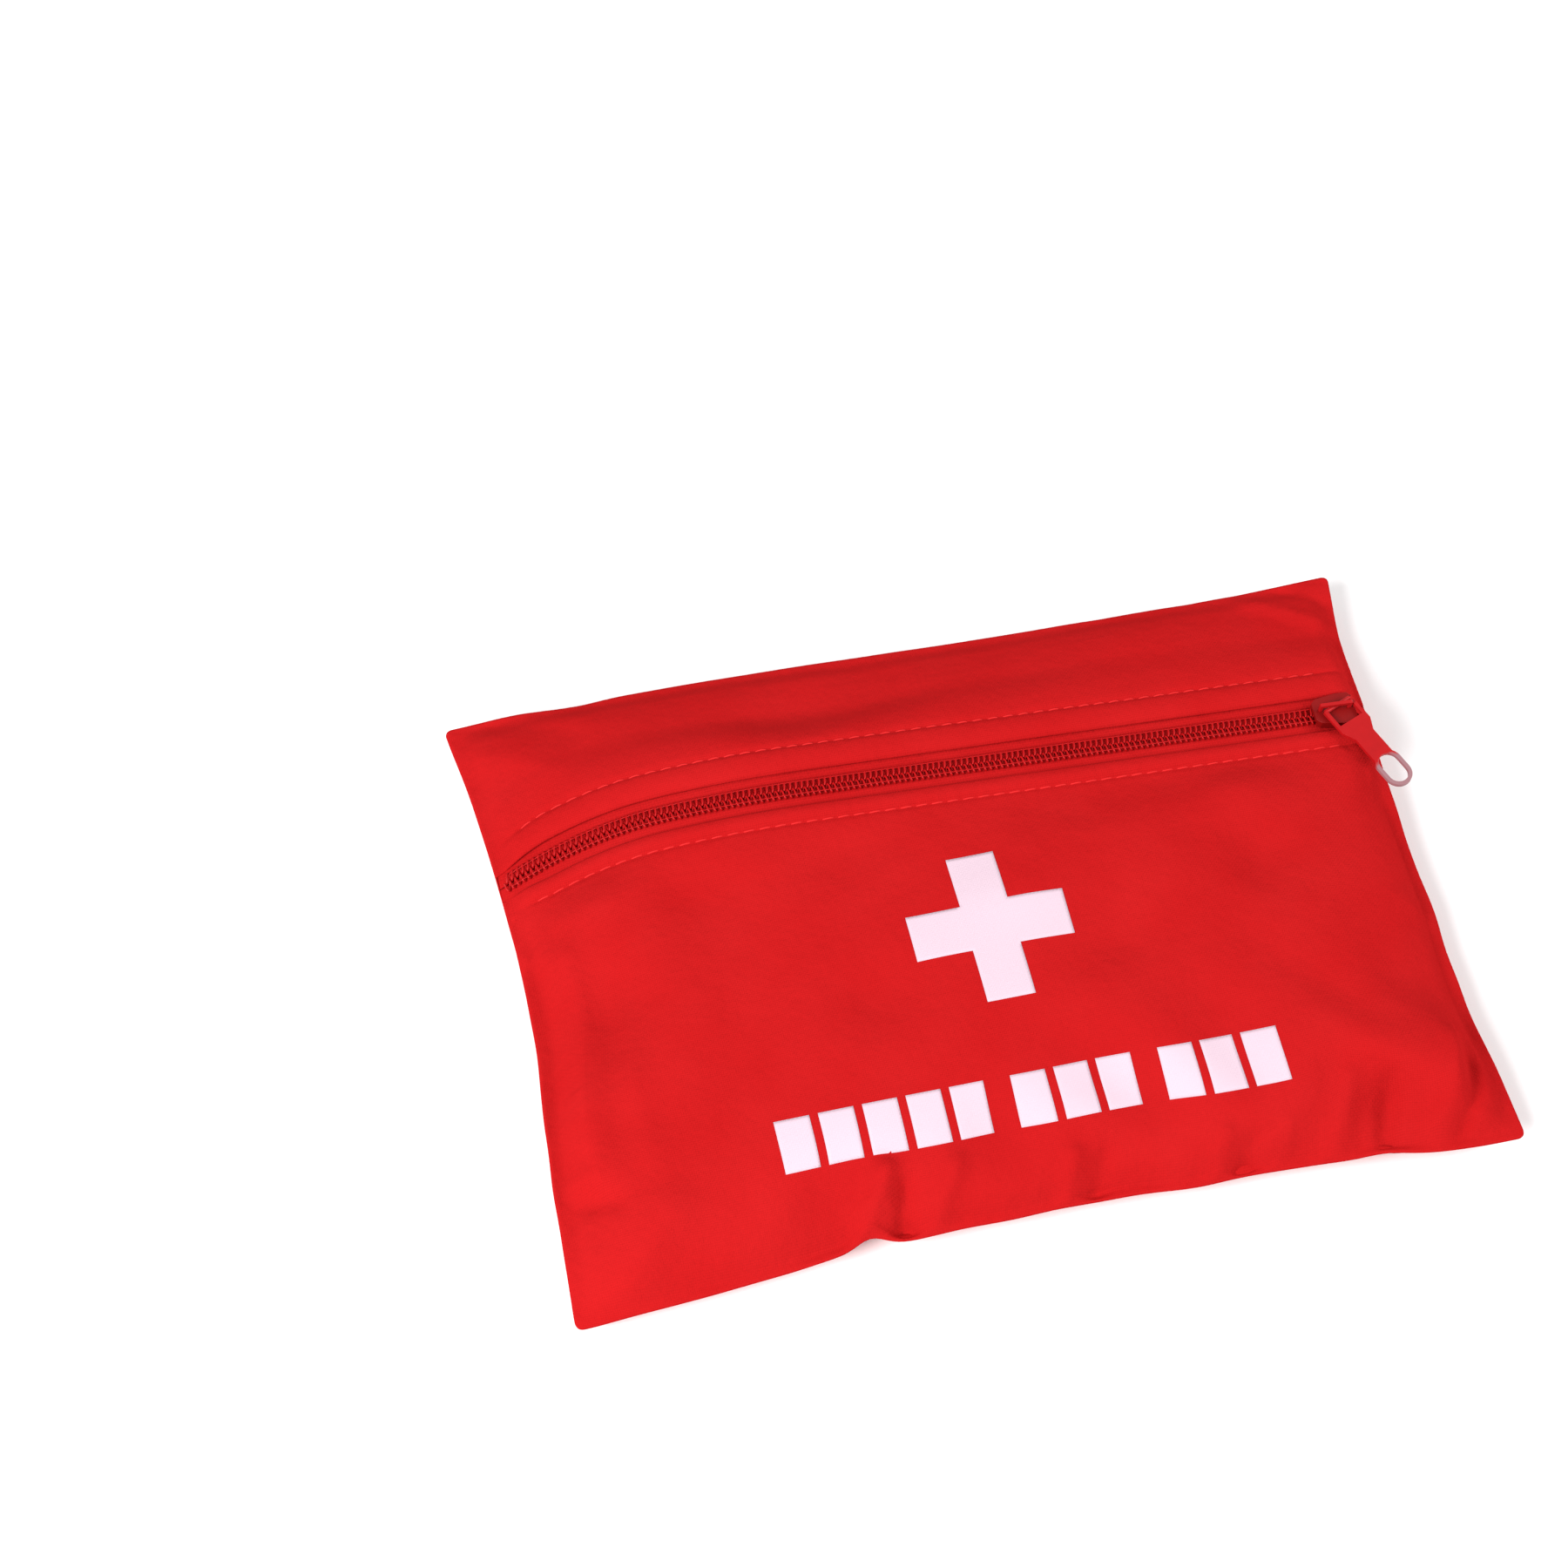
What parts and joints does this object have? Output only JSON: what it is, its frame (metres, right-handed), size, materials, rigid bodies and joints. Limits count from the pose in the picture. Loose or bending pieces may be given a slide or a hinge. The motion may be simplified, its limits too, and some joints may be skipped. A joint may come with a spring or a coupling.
{
  "type": "first aid kit",
  "caption": "Soft red zip pouch with a white cross, holding rolled bandages, dressings, tape, scissors and tweezers; the zip slides and the mouth lifts.",
  "frame": {"origin": "centre of the flat face that the pouch rests on, lying on its back", "axes": "+X along the zip to its closed end, +Y towards the zip edge, +Z out of the front"},
  "size_m": [0.2, 0.14, 0.0223],
  "materials": {
    "red_cloth": "plain-weave nylon, slight sheen",
    "zip_tape": "woven polyester tape",
    "zip_coil": "nylon coil",
    "red_thread": "polyester thread",
    "red_enamel": "spray-painted zinc, satin",
    "white_print": "screen print ink",
    "bandage": "crepe weave",
    "tape": "cotton tape",
    "white_plastic": "moulded",
    "cotton": "cotton",
    "gauze_wrap": "paper wrap",
    "foil": "thin metallised film",
    "plaster": "perforated film",
    "wipe_sachet": "sealed sachet",
    "steel": "satin",
    "black_plastic": "moulded"
  },
  "bodies": {
    "pouch": {"back_panel": "red_cloth", "front_panel": "red_cloth", "lower_zip_tape": "zip_tape", "lower_coil": "zip_coil", "lower_topstitch": "red_thread", "printed_cross": "white_print", "printed_blocks": "white_print", "bandage_roll_1": "bandage", "bandage_roll_2": "bandage", "tape_winding": "tape", "tape_core": "white_plastic", "triangular_bandage": "cotton", "gauze_pads": "gauze_wrap", "foil_blanket": "foil", "adhesive_plasters": "plaster", "alcohol_wipes": "wipe_sachet", "swab_sticks": "white_plastic", "swab_tips": "cotton", "scissors_blade_1": "steel", "scissors_handle_1": "black_plastic", "scissors_rivet": "steel", "tweezers_arm_1": "steel"},
    "mouth_lip": {"upper_strip": "red_cloth", "upper_zip_tape": "zip_tape", "upper_coil": "zip_coil", "upper_topstitch": "red_thread"},
    "slider": {"slider_body": "red_enamel", "slider_bridge": "red_enamel"},
    "pull_tab": {"pull_tab": "red_enamel"},
    "scissors_half": {"scissors_blade_2": "steel", "scissors_handle_2": "black_plastic"},
    "tweezers_arm": {"tweezers_arm_2": "steel"}
  },
  "joints": [
    {"name": "zip_slide", "type": "slide", "parent": "pouch", "child": "slider", "axis": [-0.9988, 0.0157, 0.0454], "range_m": [0, 0.166], "deforming": ["lower_zip_tape", "upper_zip_tape", "lower_coil", "upper_coil"]},
    {"name": "mouth_lift", "type": "hinge", "parent": "pouch", "child": "mouth_lip", "pos_m": [0, 0.07, 0.0083], "axis": [-1, 0, 0], "range_deg": [0, 50], "deforming": ["upper_zip_tape", "upper_coil"]},
    {"name": "tab_tilt", "type": "hinge", "parent": "slider", "child": "pull_tab", "pos_m": [0.08786, 0.031, 0.01841], "axis": [-0.9272, -0.3746, 0], "range_deg": [0, 90]},
    {"name": "scissors_open", "type": "hinge", "parent": "pouch", "child": "scissors_half", "pos_m": [-0.036, -0.017, 0.0033], "axis": [0, 0, -1], "range_deg": [0, 30]},
    {"name": "tweezers_close", "type": "hinge", "parent": "pouch", "child": "tweezers_arm", "pos_m": [0.0069, -0.047, 0.0053], "axis": [0, 0, 1], "range_deg": [0, 4.2], "stiffness_Nm_per_rad": 0.2}
  ],
  "couplings": [
    {"joint": "mouth_lift", "follows": "zip_slide", "rad_per_m": 5.2569}
  ]
}
